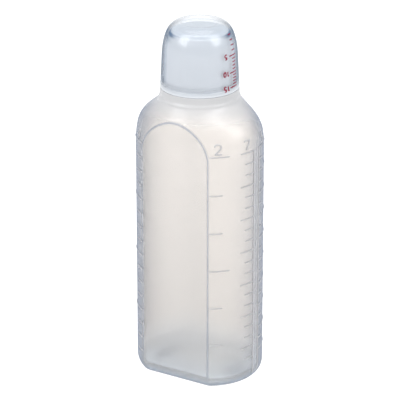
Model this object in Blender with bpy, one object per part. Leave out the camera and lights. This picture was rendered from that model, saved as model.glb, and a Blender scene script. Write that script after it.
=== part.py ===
"""A small dispensing bottle for liquid medicine, with its screw cap and a measuring cup.

The bottle is one blow-moulded shell: an oval body with a flat panel on its front and back, a shoulder
that turns the oval into a round neck, a collar and a threaded mouth. The cap's thread meshes with the
neck's thread, a soft liner in the cap closes the mouth, and the cup stands upside down over the cap.
+Z is up, X is the width, the front panel faces -Y and the base rests on z = 0.
"""

import math

import bmesh
import bpy

MM = 0.001

# Body: an oval, cut flat at the front and back.
HALF_WIDTH = 28.0 * MM
OVAL_HALF_DEPTH = 24.85 * MM
PANEL_HALF_DEPTH = 20.15 * MM
BASE_FILLET = 5.9 * MM
WALL = 1.1 * MM
FLOOR = 1.4 * MM
RECESS_INSET = 9.0 * MM
RECESS_HEIGHT = 1.0 * MM
SHOULDER_Z = 105.0 * MM

# Neck: a collar, then a threaded tube with a plain lip.
COLLAR_RADIUS = 16.8 * MM
COLLAR_BOTTOM_Z = 127.2 * MM
COLLAR_TOP_Z = 129.7 * MM
NECK_RADIUS = 12.4 * MM
NECK_BORE = 10.4 * MM
LIP_RADIUS = 11.8 * MM
LIP_START_Z = 147.5 * MM
LIP_TOP_Z = 150.6 * MM

# How the shoulder's width and depth run from the oval to the collar: (power of height, roundness).
SHOULDER_SIDE = (4.2, 3.05)
SHOULDER_FRONT = (1.5, 1.27)

# Thread shared by the neck and the cap.
PITCH = 4.0 * MM
THREAD_START_Z = 138.0 * MM
NECK_THREAD_TURNS = (0.0, 1.5)
CAP_THREAD_TURNS = (0.25, 1.25)
CAP_THREAD_DROP = 1.5 * MM
THREAD_CREST = 13.25 * MM
CAP_THREAD_CREST = 12.75 * MM
THREAD_ROOT_HEIGHT = 2.0 * MM
THREAD_CREST_HEIGHT = 0.8 * MM
THREAD_FADE_TURNS = 0.12
THREAD_BITE = 0.4 * MM
# Keeps the ridges' corners off the corners of the walls they stand on.
THREAD_PHASE = math.radians(2.3)

# Cup: its outside, then the cap as the same outline set back by the cup's wall and a running gap.
GAP = 0.3 * MM
CUP_WALL = 1.0 * MM
CUP_BASE = 1.6 * MM
CUP_TOP_Z = 158.0 * MM
CUP_RIM_Z = COLLAR_TOP_Z + GAP
CUP_RIM_RADIUS = 16.75 * MM
CUP_RIM_ROUND = 0.4 * MM
CUP_RIM_BAND = 1.9 * MM
CUP_SHOULDER_Z = 144.5 * MM
CUP_SHOULDER_RADIUS = 15.95 * MM
CUP_BASE_RADIUS = 9.0 * MM
# How far the cup's curve runs on along the wall and along the base before it bends away.
CUP_WALL_RUN = 7.0 * MM
CUP_WALL_LEAN = 0.45 * MM
CUP_BASE_RUN = 4.6 * MM
CUP_BASE_DROP = 0.2 * MM
CUP_RECESS_RADIUS = 8.0 * MM
CUP_RECESS = 0.6 * MM
CROWN_CHAMFER = 1.5 * MM

CAP_TOP_Z = 154.2 * MM
CAP_BORE = 13.6 * MM
CAP_POCKET = 12.2 * MM
CAP_POCKET_Z = 149.5 * MM

LINER_RADIUS = 11.6 * MM
LINER_THICKNESS = 1.0 * MM
LINER_Z = LIP_TOP_Z + GAP

BODY_COLUMNS = 48
ROUND_COLUMNS = 40
THREAD_STEPS_PER_TURN = 32
FILLET_STEPS = 5
SHOULDER_STEPS = 14
CURVE_STEPS = 8


def clear_scene():
    for old in list(bpy.data.objects):
        bpy.data.objects.remove(old, do_unlink=True)


def make_material(name, colour, roughness, alpha=1.0, transmission=0.0):
    """A Principled material without metal."""
    material = bpy.data.materials.new(name)
    material.use_nodes = True
    shader = material.node_tree.nodes["Principled BSDF"]
    shader.inputs["Base Color"].default_value = (*colour, 1.0)
    shader.inputs["Metallic"].default_value = 0.0
    shader.inputs["Roughness"].default_value = roughness
    shader.inputs["Alpha"].default_value = alpha
    shader.inputs["Transmission Weight"].default_value = transmission
    return material


def add_object(name, bm, material=None):
    """Turn a bmesh into a named, smooth-shaded object."""
    bmesh.ops.recalc_face_normals(bm, faces=bm.faces)
    mesh = bpy.data.meshes.new(name)
    bm.to_mesh(mesh)
    bm.free()
    mesh.shade_smooth()
    mesh.set_sharp_from_angle(angle=math.radians(30))
    obj = bpy.data.objects.new(name, mesh)
    bpy.context.collection.objects.link(obj)
    if material:
        mesh.materials.append(material)
    return obj


def as_tool(obj):
    """Mark an object as a guide that only shapes other objects."""
    obj.hide_render = True
    obj.display_type = "WIRE"
    return obj


def boolean(target, tool, operation):
    modifier = target.modifiers.new(tool.name, "BOOLEAN")
    modifier.operation = operation
    modifier.solver = "EXACT"
    modifier.object = tool


def bridge(bm, lower, upper):
    """Join two rings of vertices with quads; a ring of one vertex is a pole."""
    count = max(len(lower), len(upper))
    for i in range(count):
        j = (i + 1) % count
        corners = []
        for vertex in (
            lower[i % len(lower)],
            lower[j % len(lower)],
            upper[j % len(upper)],
            upper[i % len(upper)],
        ):
            if vertex not in corners:
                corners.append(vertex)
        bm.faces.new(corners)


def loft(sections):
    """A closed solid through oval sections (z, half width, half depth), from the bottom up."""
    bm = bmesh.new()
    rings = []
    for z, half_width, half_depth in sections:
        ring = []
        for i in range(BODY_COLUMNS):
            angle = 2 * math.pi * i / BODY_COLUMNS
            ring.append(bm.verts.new((half_width * math.cos(angle), half_depth * math.sin(angle), z)))
        rings.append(ring)
    for lower, upper in zip(rings, rings[1:]):
        bridge(bm, lower, upper)
    bm.faces.new(rings[0])
    bm.faces.new(rings[-1])
    return bm


def turned(profile):
    """A solid turned about the Z axis from a profile (radius, z) that starts and ends on the axis."""
    bm = bmesh.new()
    rings = []
    for radius, z in profile:
        if radius == 0.0:
            rings.append([bm.verts.new((0.0, 0.0, z))])
            continue
        ring = []
        for i in range(ROUND_COLUMNS):
            angle = 2 * math.pi * i / ROUND_COLUMNS
            ring.append(bm.verts.new((radius * math.cos(angle), radius * math.sin(angle), z)))
        rings.append(ring)
    for lower, upper in zip(rings, rings[1:]):
        bridge(bm, lower, upper)
    return bm


def bezier(points, steps):
    """Points along a cubic Bezier curve, both ends included."""
    (x0, z0), (x1, z1), (x2, z2), (x3, z3) = points
    curve = []
    for i in range(steps + 1):
        t = i / steps
        s = 1 - t
        x = s**3 * x0 + 3 * s * s * t * x1 + 3 * s * t * t * x2 + t**3 * x3
        z = s**3 * z0 + 3 * s * s * t * z1 + 3 * s * t * t * z2 + t**3 * z3
        curve.append((x, z))
    return curve


def set_back(profile, distance):
    """The outline moved inwards: towards the axis where it is upright, downwards where it is level."""
    moved = []
    for i, (radius, z) in enumerate(profile):
        before = profile[max(i - 1, 0)]
        after = profile[min(i + 1, len(profile) - 1)]
        run = after[0] - before[0]
        rise = after[1] - before[1]
        length = math.hypot(run, rise)
        moved.append((radius - distance * rise / length, z + distance * run / length))
    return moved


def taper(base, top, height, shape):
    """A half width that leaves base upright, falls away over the shoulder and ends at top."""
    power, roundness = shape
    return top + (base - top) * (1 - height**power) ** roundness


def body_sections(inset, floor_z):
    """The uncut oval from the floor to the collar, moved inwards by inset."""
    sections = []
    fillet = BASE_FILLET - inset
    for i in range(FILLET_STEPS + 1):
        angle = math.pi / 2 * i / FILLET_STEPS
        shrink = inset + fillet * (1 - math.sin(angle))
        z = floor_z + fillet * (1 - math.cos(angle))
        sections.append((z, HALF_WIDTH - shrink, OVAL_HALF_DEPTH - shrink))
    for i in range(SHOULDER_STEPS + 1):
        height = i / SHOULDER_STEPS
        z = SHOULDER_Z + (COLLAR_BOTTOM_Z - SHOULDER_Z) * height
        half_width = taper(HALF_WIDTH, COLLAR_RADIUS, height, SHOULDER_SIDE) - inset
        half_depth = taper(OVAL_HALF_DEPTH, COLLAR_RADIUS, height, SHOULDER_FRONT) - inset
        sections.append((z, half_width, half_depth))
    return sections


def panel_slab(name, half_depth, floor_z, fillet):
    """The space between the two flat panels, with the base's fillet along its bottom edges."""
    outline = []
    for i in range(FILLET_STEPS + 1):
        angle = math.pi / 2 * i / FILLET_STEPS
        y = half_depth - fillet * (1 - math.sin(angle))
        outline.append((y, floor_z + fillet * (1 - math.cos(angle))))
    above_everything = CUP_TOP_Z
    outline.append((half_depth, above_everything))
    outline += [(-y, z) for y, z in reversed(outline)]
    bm = bmesh.new()
    ends = []
    for x in (-2 * HALF_WIDTH, 2 * HALF_WIDTH):
        ends.append([bm.verts.new((x, y, z)) for y, z in outline])
    bridge(bm, *ends)
    bm.faces.new(ends[0])
    bm.faces.new(ends[1])
    return as_tool(add_object(name, bm))


def thread_ridge(name, turns, first_z, root, crest):
    """A helical ridge with a flat crest, whose two ends fade into the wall it stands on."""
    bm = bmesh.new()
    steps = round((turns[1] - turns[0]) * THREAD_STEPS_PER_TURN)
    sections = []
    outwards = math.copysign(1.0, crest - root)
    for i in range(steps + 1):
        turn = turns[0] + (turns[1] - turns[0]) * i / steps
        from_end = min(turn - turns[0], turns[1] - turn)
        height = min(1.0, max(0.1, from_end / THREAD_FADE_TURNS))
        z = first_z + PITCH * turn
        angle = 2 * math.pi * turn + THREAD_PHASE
        top = root + (crest - root) * height
        corners = (
            (root - outwards * THREAD_BITE, -THREAD_ROOT_HEIGHT / 2),
            (top, -THREAD_CREST_HEIGHT / 2),
            (top, THREAD_CREST_HEIGHT / 2),
            (root - outwards * THREAD_BITE, THREAD_ROOT_HEIGHT / 2),
        )
        section = []
        for radius, up in corners:
            section.append(bm.verts.new((radius * math.cos(angle), radius * math.sin(angle), z + up)))
        sections.append(section)
    for here, there in zip(sections, sections[1:]):
        bridge(bm, here, there)
    bm.faces.new(sections[0])
    bm.faces.new(sections[-1])
    return as_tool(add_object(name, bm))


def cup_outline():
    """The cup's outside from its rim up to the edge of its flat base."""
    rim = [
        (CUP_RIM_RADIUS - CUP_RIM_ROUND, CUP_RIM_Z),
        (CUP_RIM_RADIUS, CUP_RIM_Z + CUP_RIM_ROUND),
        (CUP_RIM_RADIUS - CUP_RIM_ROUND / 2, CUP_RIM_Z + CUP_RIM_BAND),
    ]
    shoulder = bezier(
        [
            (CUP_SHOULDER_RADIUS, CUP_SHOULDER_Z),
            (CUP_SHOULDER_RADIUS - CUP_WALL_LEAN, CUP_SHOULDER_Z + CUP_WALL_RUN),
            (CUP_BASE_RADIUS + CUP_BASE_RUN, CUP_TOP_Z - CUP_BASE_DROP),
            (CUP_BASE_RADIUS, CUP_TOP_Z),
        ],
        CURVE_STEPS,
    )
    return rim + shoulder


def build_bottle(material):
    neck = [
        (COLLAR_TOP_Z, COLLAR_RADIUS, COLLAR_RADIUS),
        (COLLAR_TOP_Z, NECK_RADIUS, NECK_RADIUS),
        (LIP_START_Z, NECK_RADIUS, NECK_RADIUS),
        (LIP_START_Z + NECK_RADIUS - LIP_RADIUS, LIP_RADIUS, LIP_RADIUS),
        (LIP_TOP_Z, LIP_RADIUS, LIP_RADIUS),
    ]
    bottle = add_object("bottle_body", loft(body_sections(0.0, 0.0) + neck), material)
    boolean(bottle, panel_slab("outer_panels", PANEL_HALF_DEPTH, 0.0, BASE_FILLET), "INTERSECT")

    recess_top_inset = RECESS_INSET + RECESS_HEIGHT
    recess_oval = [
        (-RECESS_HEIGHT, HALF_WIDTH - RECESS_INSET, OVAL_HALF_DEPTH - RECESS_INSET),
        (RECESS_HEIGHT, HALF_WIDTH - recess_top_inset, OVAL_HALF_DEPTH - recess_top_inset),
    ]
    recess = as_tool(add_object("base_recess", loft(recess_oval)))
    recess_half_depth = PANEL_HALF_DEPTH - RECESS_INSET
    recess_slab = panel_slab("recess_panels", recess_half_depth, -2 * RECESS_HEIGHT, RECESS_HEIGHT)
    boolean(recess, recess_slab, "INTERSECT")
    boolean(bottle, recess, "DIFFERENCE")

    thread = thread_ridge("neck_thread", NECK_THREAD_TURNS, THREAD_START_Z, NECK_RADIUS, THREAD_CREST)
    boolean(bottle, thread, "UNION")

    floor_z = FLOOR + RECESS_HEIGHT
    bore = [
        (COLLAR_TOP_Z, NECK_BORE, NECK_BORE),
        (LIP_TOP_Z + FLOOR, NECK_BORE, NECK_BORE),
    ]
    core = as_tool(add_object("hollow", loft(body_sections(WALL, floor_z)[:-1] + bore)))
    inner_slab = panel_slab("inner_panels", PANEL_HALF_DEPTH - WALL, floor_z, BASE_FILLET - WALL)
    boolean(core, inner_slab, "INTERSECT")
    boolean(bottle, core, "DIFFERENCE")


def build_cup(material):
    outside = cup_outline()
    inside = set_back(outside[2:], CUP_WALL)
    inner_floor_z = CUP_TOP_Z - CUP_RECESS - CUP_BASE
    inside = [point for point in inside if point[1] < inner_floor_z - GAP]
    inner_floor = [(inside[-1][0] - CROWN_CHAMFER, inner_floor_z), (0.0, inner_floor_z)]
    inner_rim = [(outside[0][0] - CUP_RIM_ROUND / 2, CUP_RIM_Z)]
    recess = [
        (CUP_RECESS_RADIUS, CUP_TOP_Z),
        (CUP_RECESS_RADIUS - CUP_RECESS, CUP_TOP_Z - CUP_RECESS),
        (0.0, CUP_TOP_Z - CUP_RECESS),
    ]
    profile = list(reversed(inner_rim + inside + inner_floor)) + outside + recess
    add_object("measuring_cup", turned(profile), material)


def build_cap(material):
    outside = set_back(cup_outline()[2:], CUP_WALL + GAP)
    outside = [point for point in outside if point[1] < CAP_TOP_Z - GAP]
    outside.insert(0, (outside[0][0], CUP_RIM_Z))
    crown = [(outside[-1][0] - CROWN_CHAMFER, CAP_TOP_Z), (0.0, CAP_TOP_Z)]
    ceiling_z = LINER_Z + LINER_THICKNESS + GAP
    inside = [
        (0.0, ceiling_z),
        (CAP_POCKET, ceiling_z),
        (CAP_POCKET, CAP_POCKET_Z),
        (CAP_BORE, LIP_START_Z),
        (CAP_BORE, CUP_RIM_Z),
    ]
    cap = add_object("screw_cap", turned(inside + outside + crown), material)
    first_z = THREAD_START_Z - CAP_THREAD_DROP
    thread = thread_ridge("cap_thread", CAP_THREAD_TURNS, first_z, CAP_BORE, CAP_THREAD_CREST)
    boolean(cap, thread, "UNION")


def build_liner(material):
    profile = [
        (0.0, LINER_Z),
        (LINER_RADIUS, LINER_Z),
        (LINER_RADIUS, LINER_Z + LINER_THICKNESS),
        (0.0, LINER_Z + LINER_THICKNESS),
    ]
    add_object("cap_liner", turned(profile), material)


def main():
    clear_scene()
    milky = make_material("milky_polyethylene", (0.86, 0.87, 0.88), 0.35, alpha=0.8, transmission=0.5)
    closure = make_material("milky_polypropylene", (0.88, 0.90, 0.93), 0.25, alpha=0.9, transmission=0.3)
    foam = make_material("white_foam", (0.9, 0.9, 0.88), 0.8)
    clear = make_material("clear_polypropylene", (0.93, 0.96, 0.98), 0.06, alpha=0.35, transmission=0.95)
    build_bottle(milky)
    build_liner(foam)
    build_cap(closure)
    build_cup(clear)


main()
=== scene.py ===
"""Looks for the dispensing bottle: a milky blow-moulded body, its cap, liner and clear measuring cup.

Every piece takes its sizes from the same driving dimensions as the CAD and rides on a CAD body.
The script ends with the studio: a pale floor, two softboxes, a top light and the camera.
"""

import math

import bpy
import numpy as np
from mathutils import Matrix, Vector


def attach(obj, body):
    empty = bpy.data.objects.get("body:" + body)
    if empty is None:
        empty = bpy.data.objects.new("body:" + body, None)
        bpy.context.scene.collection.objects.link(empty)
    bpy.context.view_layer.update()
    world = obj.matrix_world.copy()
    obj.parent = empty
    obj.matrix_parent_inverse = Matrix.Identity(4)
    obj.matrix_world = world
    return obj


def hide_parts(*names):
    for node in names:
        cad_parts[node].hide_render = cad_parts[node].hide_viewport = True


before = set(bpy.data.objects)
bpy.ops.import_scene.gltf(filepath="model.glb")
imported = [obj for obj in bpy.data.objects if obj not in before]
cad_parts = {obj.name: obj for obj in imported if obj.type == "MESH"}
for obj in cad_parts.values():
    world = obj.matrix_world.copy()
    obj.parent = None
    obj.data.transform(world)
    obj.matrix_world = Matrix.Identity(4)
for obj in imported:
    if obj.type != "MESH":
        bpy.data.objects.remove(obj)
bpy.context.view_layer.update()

MM = 0.001
TAU = 2 * math.pi

# Body: an oval, cut flat at the front and back.
HALF_WIDTH = 28.0 * MM
OVAL_HALF_DEPTH = 24.85 * MM
PANEL_HALF_DEPTH = 20.15 * MM
BASE_FILLET = 5.9 * MM
WALL = 1.1 * MM
FLOOR = 1.4 * MM
RECESS_INSET = 9.0 * MM
RECESS_HEIGHT = 1.0 * MM
SHOULDER_Z = 105.0 * MM
# Power and roundness of the shoulder's fall to the collar, across the width and across the depth.
SHOULDER_SIDE = (4.2, 3.05)
SHOULDER_FRONT = (1.5, 1.27)
PANEL_EDGE_ROUND = 0.45 * MM
SEAM_HEIGHT = 0.09 * MM
SEAM_HALF_WIDTH = 0.22 * MM
SEAM_FADE = 12 * MM
# The squeezed ends of the seam under the base.
PINCH_X = 17.5 * MM
PINCH_LENGTH = 4 * MM
PINCH_WIDTH = 5.5 * MM
BEAD_Z = 125.9 * MM
BEAD_HEIGHT = 0.22 * MM
BEAD_HALF_WIDTH = 0.5 * MM

# Neck: a collar, then a threaded tube with a plain lip.
COLLAR_RADIUS = 16.8 * MM
COLLAR_BOTTOM_Z = 127.2 * MM
COLLAR_TOP_Z = 129.7 * MM
NECK_RADIUS = 12.4 * MM
NECK_ROOT = 2 * MM
NECK_BORE = 10.4 * MM
LIP_RADIUS = 11.8 * MM
LIP_START_Z = 147.5 * MM
LIP_TOP_Z = 150.6 * MM
EDGE_ROUND = 0.3 * MM

# Thread shared by the neck and the cap.
PITCH = 4.0 * MM
THREAD_START_Z = 138.0 * MM
NECK_THREAD_TURNS = (0.0, 1.5)
CAP_THREAD_TURNS = (0.25, 1.25)
CAP_THREAD_DROP = 1.5 * MM
THREAD_CREST = 13.25 * MM
CAP_THREAD_CREST = 12.75 * MM
THREAD_ROOT_HEIGHT = 2.0 * MM
THREAD_CREST_HEIGHT = 0.8 * MM
THREAD_FADE_TURNS = 0.12

# Cup, and the cap as the same outline set back by the cup's wall and a running gap.
GAP = 0.3 * MM
CUP_WALL = 1.0 * MM
CUP_BASE = 1.6 * MM
CUP_TOP_Z = 158.0 * MM
CUP_RIM_Z = COLLAR_TOP_Z + GAP
CUP_RIM_RADIUS = 16.75 * MM
CUP_RIM_ROUND = 0.4 * MM
CUP_RIM_BAND = 1.9 * MM
CUP_RIM_STEP = 0.36 * MM
CUP_RIM_STEP_ROUND = 0.08 * MM
CUP_RIM_INSIDE = 15.85 * MM
CUP_RIM_GAP = 0.06 * MM
CUP_SHOULDER_Z = 144.5 * MM
CUP_SHOULDER_RADIUS = 15.95 * MM
CUP_BASE_RADIUS = 9.0 * MM
CUP_WALL_RUN = 7.0 * MM
CUP_WALL_LEAN = 0.45 * MM
CUP_BASE_RUN = 4.6 * MM
CUP_BASE_DROP = 0.2 * MM
CUP_RECESS_RADIUS = 8.0 * MM
CUP_RECESS = 0.6 * MM
CUP_RECESS_ROUND = 0.3 * MM
CROWN_CHAMFER = 1.5 * MM
# A crown's corner in shares of its chamfer: how far in it leans, how far in it ends, its rounding.
CROWN_LEAN = 0.3
CROWN_REACH = 1.3
CROWN_ROUND = 0.55
CAP_TOP_Z = 154.2 * MM
CAP_BORE = 13.6 * MM
CAP_POCKET = 12.2 * MM
CAP_POCKET_Z = 149.5 * MM
CAP_SKIRT_START = 2 * MM
LINER_RADIUS = 11.6 * MM
LINER_THICKNESS = 1.0 * MM
LINER_EDGE_ROUND = 0.25 * LINER_THICKNESS
LINER_Z = LIP_TOP_Z + GAP

# Mesh fineness. The bottle's columns crowd together towards its rounded ends.
BODY_COLUMNS = 464
END_CROWDING = 0.25
ROUND_COLUMNS = 160
FILLET_STEPS = 12
SHOULDER_STEPS = 56
INNER_SHOULDER_STEPS = 26
WALL_STEPS = 12
THREAD_ROW = 0.25 * MM
CURVE_STEPS = 40
LOWER_WALL_STEPS = 6
ROUND_STEPS = 5
STROKE_STEPS = 6
RIB_SPACING = 0.5 * MM
LONG_RIB_SPACING = 2 * MM
INK_SPACING = 0.3 * MM
NORMAL_STEP = 0.05 * MM
SHARP_ANGLE = 35.0
RIB_SHARP_ANGLE = 60.0
SMALLEST_SINE = 1e-3

# Extra rings on flat faces, as shares of the face's radius.
BASE_RINGS = (0.2, 0.45, 0.7, 0.9)
FLOOR_RINGS = (0.85, 0.6, 0.3)
CUP_RECESS_RING = 0.3
CUP_FLOOR_RING = 0.4
CAP_RING = 0.5
LINER_RING = 0.6

# Dose scales moulded on the rounded ends.
# An end is close to an arc of this radius about a point this far from the axis.
END_RADIUS = 23.3 * MM
END_CENTRE = 4.7 * MM
SCALE_TOP_Z = 106.9 * MM
SCALE_LOWEST_Z = 9.0 * MM
RIB_HALF_WIDTH = 0.24 * MM
RIB_LIFT = 0.28 * MM
RIB_SINK = 0.15 * MM
END_TAPER = 0.35
NEAR_END_TAPER = 0.8
# A rib's section above the surface: places across in half widths, and heights as shares of its lift.
RIB_SECTION = ((1.0, 0.3), (0.62, 0.85), (0.0, 1.0), (-0.62, 0.85), (-1.0, 0.3))
DIVIDER_BOTTOM_Z = 4 * MM
NUMERAL_HALF_WIDTH = 0.34 * MM
NUMERAL_HEIGHT = 4.1 * MM
NUMERAL_WIDTH = 3.3046 * MM
NUMERAL_GAP = 1.2 * MM

# Places across a rounded end, in millimetres of arc: where the outer and the inner scales start.
PANEL_SIDE = 23.7
SEAM_SIDE = 2.03

# (end, number, where its ticks start, long tick, short tick, pitch, ticks per long one, number's middle):
# places along the arc run anticlockwise from the mould seam, in millimetres.
DOSE_SCALES = (
    ("right", "2", -PANEL_SIDE, 8.9, 5.8, 17.14, 3, -19.8),
    ("right", "7", -SEAM_SIDE, -7.6, -5.2, 4.967, 3, -6.0),
    ("right", "5", SEAM_SIDE, 7.6, 5.2, 5.17, 4, 6.0),
    ("right", "10", PANEL_SIDE, -12.2, -5.8, 5.175, 2, 18.6),
    ("left", "4", PANEL_SIDE, -11.7, -5.8, 6.41, 4, 19.8),
    ("left", "6", SEAM_SIDE, 7.6, 5.2, 5.75, 3, 6.0),
    ("left", "8", -SEAM_SIDE, -7.6, -5.2, 6.47, 2, -6.0),
    ("left", "3", -PANEL_SIDE, 8.9, 5.8, 11.5, 3, -19.8),
)

# Numerals as strokes in a box one unit high: a "line" keeps its corners, a "curve" is smoothed.
# The next digit starts one advance further on.
GLYPH_WIDTH = 0.62
GLYPH_ADVANCE = 0.82
NUMERALS = {
    "0": (
        ("curve", ((0.3, 1), (0.08, 0.85), (0.02, 0.5), (0.08, 0.15), (0.3, 0), (0.52, 0.15),
                   (0.58, 0.5), (0.52, 0.85), (0.3, 1))),
    ),
    "1": (("line", ((0.1, 0.78), (0.34, 1), (0.34, 0))),),
    "2": (
        ("curve", ((0.04, 0.74), (0.12, 0.94), (0.3, 1), (0.5, 0.93), (0.57, 0.73), (0.48, 0.5),
                   (0.26, 0.25), (0.03, 0))),
        ("line", ((0.03, 0), (0.6, 0))),
    ),
    "3": (
        ("curve", ((0.05, 0.84), (0.25, 1), (0.48, 0.92), (0.53, 0.74), (0.44, 0.57), (0.26, 0.53))),
        ("curve", ((0.26, 0.53), (0.48, 0.46), (0.57, 0.27), (0.48, 0.07), (0.27, 0), (0.03, 0.13))),
    ),
    "4": (
        ("line", ((0.46, 0), (0.46, 1), (0.02, 0.3), (0.62, 0.3))),
    ),
    "5": (
        ("line", ((0.54, 1), (0.12, 1), (0.07, 0.55))),
        ("curve", ((0.07, 0.55), (0.28, 0.64), (0.5, 0.55), (0.58, 0.33), (0.49, 0.1), (0.28, 0),
                   (0.04, 0.1))),
    ),
    "6": (
        ("curve", ((0.5, 0.95), (0.3, 0.95), (0.1, 0.7), (0.03, 0.35), (0.1, 0.08), (0.3, 0),
                   (0.5, 0.08), (0.57, 0.3), (0.5, 0.52), (0.3, 0.6), (0.1, 0.5))),
    ),
    "7": (
        ("line", ((0.03, 0.86), (0.03, 1), (0.58, 1))),
        ("curve", ((0.58, 1), (0.4, 0.6), (0.27, 0.3), (0.23, 0))),
    ),
    "8": (
        ("curve", ((0.3, 0.54), (0.1, 0.64), (0.08, 0.86), (0.3, 1), (0.52, 0.86), (0.5, 0.64),
                   (0.3, 0.54))),
        ("curve", ((0.3, 0.54), (0.08, 0.42), (0.02, 0.18), (0.3, 0), (0.58, 0.18), (0.52, 0.42),
                   (0.3, 0.54))),
    ),
}

# Scale printed on the cup, with a tick for each millilitre: heights of known volumes, in millimetres.
# The cup is upside down, so more millilitres stand lower.
CUP_MARK_Z = {1: 154.5, 5: 146.1, 10: 138.7, 15: 132.4}
CUP_MARK_EVERY = 5
# Places round the cup, in degrees from the right end's middle.
CUP_LONG_TICK = (-7.5, 10.0)
CUP_SHORT_TICK = (-0.3, 9.0)
CUP_NUMERAL_ANGLE = -14.9
CUP_NUMERAL_HEIGHT = 2.05 * MM
CUP_NUMERAL_WIDTH = 1.3 * MM
INK_HALF_WIDTH = 0.22 * MM
INK_NUMERAL_HALF_WIDTH = 0.26 * MM
INK_LIFT = 0.05 * MM
INK_SINK = 0.03 * MM

# Share of a wall's thickness, from its outside, that takes the colours of the outside.
OUTER_SKIN = 0.4

# Heights between which the colours of the body, the cup and the cap fade in or out.
FOOT_FADE = (0.3 * BASE_FILLET, 1.3 * BASE_FILLET)
FLOOR_FADE = (9.3 * MM, 15.5 * MM)
COLLAR_FADE = (COLLAR_BOTTOM_Z - 11 * MM, COLLAR_BOTTOM_Z)
SEAM_STRIP_FADE = (SHOULDER_Z, SHOULDER_Z + 5 * MM)
CUP_LIP_FADE = (CUP_RIM_Z + 0.4 * MM, CUP_RIM_Z + 0.9 * MM)
CUP_RIM_FADE = (CUP_RIM_Z + 0.8 * CUP_RIM_BAND, CUP_RIM_Z + 1.3 * CUP_RIM_BAND)
CUP_SHOULDER_FADE = (CUP_TOP_Z - 8 * MM, CUP_TOP_Z - 5 * MM)
CUP_CROWN_FADE = (CUP_TOP_Z - 3.5 * MM, CUP_TOP_Z - 1 * MM)
CAP_CORNER_FADE = (CAP_TOP_Z - 1.9 * MM, CAP_TOP_Z - 0.9 * MM)
CAP_TOP_FADE = (CAP_TOP_Z - 0.3 * MM, CAP_TOP_Z)

# The painted shade on the cap's corner starts this far from the axis.
CAP_CORNER_RADIUS = 11 * MM

# Width over which the painted dark line along a panel's edge, and the colour of the seam's strip, fade.
PANEL_EDGE_FADE = 0.8 * PANEL_EDGE_ROUND
SEAM_EDGE_FADE = 0.5 * MM

# Where the milky body is thick, and at the foot also painted shade: vertex attribute, colour, and the
# share of light it still passes.
THICK_AND_SHADED_PLACES = (
    ("collar", (0.60, 0.595, 0.60), 0.3),
    # The foot's dark blue-grey is partly its thick plastic and partly painted shade where it stands on
    # the floor.
    ("foot", (0.42, 0.47, 0.52), 0.6),
    ("floor", (0.87, 0.925, 0.98), 1.0),
    ("pinch", (0.46, 0.56, 0.66), 0.7),
    ("seam", (0.80, 0.81, 0.85), 0.95),
)

# Where less light is scattered edge on, and less painted shade shows: vertex attribute, and the share
# that is left.
CALM_PLACES = (("collar", 0.2), ("floor", 0.1), ("seam", 0.35))

# Share of the edge-on colour that paints a dark line along a panel's edge,
# and share of the wall's tint kept at the base, darkened there as painted shade.
PANEL_EDGE_SHARE = 0.8
BASE_SHADE_SHARE = 0.88

# Positions on a colour ramp where the first colour ends and the second starts.
RAMP_STOPS = (0.3, 0.7)
PLASTIC_IOR = 1.5

# How fast the clear cup's shine grows towards edge on, and the range that it covers.
SHINE_POWER = 5.0
SHINE_RANGE = (0.04, 0.3)

# Colours painted on the clear cup: painted shade on its wall, shoulder and crown, painted light on its
# rim band and a painted highlight on its lip.
CUP_EDGE_SHADE = (0.10, 0.14, 0.20)
CUP_CROWN_SHADE = (0.46, 0.475, 0.49)
CUP_RIM_LIGHT = (0.58, 0.61, 0.65)
CUP_LIP_HIGHLIGHT = (0.95, 0.97, 1.0)

# Camera: where it stands about the middle of the bottle, and what it aims at.
MIDDLE = Vector((0.0, 0.0, 81.13 * MM))
CAMERA_TURN = math.radians(31.87)
CAMERA_RISE = math.radians(21.8)
CAMERA_DISTANCE = 1.1401
CAMERA_AIM_RIGHT = 0.085 * MM
CAMERA_AIM_DOWN = 3.03 * MM
CAMERA_LENS = 240.3
SENSOR_WIDTH = 36.0

# Lights: turn from the camera and rise in degrees; distance, width and height in metres; watts.
LIGHTS = (
    ("softbox_left", -60, 33, 1.0, 0.55, 0.7, 3.5),
    ("softbox_right", 60, 33, 1.0, 0.55, 0.7, 3.5),
    ("top_light", 0, 80, 0.9, 0.9, 0.9, 7.0),
)
SKY_COLOUR = (0.94, 0.97, 1.0)
SKY_STRENGTH = 0.75

# The white table stands just under the bottle.
STAGE_RADIUS = 6.0
STAGE_COLUMNS = 128
STAGE_DROP = 0.2 * MM

# How often light may bounce, and pass through clear surfaces.
LIGHT_BOUNCES = 16
CLEAR_BOUNCES = 32


# ---------------------------------------------------------------- mesh tools


def smooth_min(first, second, blend):
    """The smaller of two lengths, with the corner where they cross rounded off."""
    share = np.clip(0.5 + 0.5 * (second - first) / blend, 0.0, 1.0)
    return second * (1 - share) + first * share - blend * share * (1 - share)


def smooth_step(value):
    """0 below 0 and 1 above 1, with a smooth rise between."""
    value = np.clip(value, 0.0, 1.0)
    return value * value * (3 - 2 * value)


def fade(value, between):
    """A smooth rise from 0 to 1 between two values."""
    start, end = between
    return smooth_step((value - start) / (end - start))


def finish_mesh(name, vertices, faces, body, sharp=SHARP_ANGLE):
    """An object from points and faces, smooth-shaded, that rides on a CAD body."""
    mesh = bpy.data.meshes.new(name)
    mesh.from_pydata(vertices, [], faces)
    mesh.update()
    mesh.shade_smooth()
    mesh.set_sharp_from_angle(angle=math.radians(sharp))
    obj = bpy.data.objects.new(name, mesh)
    bpy.context.scene.collection.objects.link(obj)
    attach(obj, body)
    return obj


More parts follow.
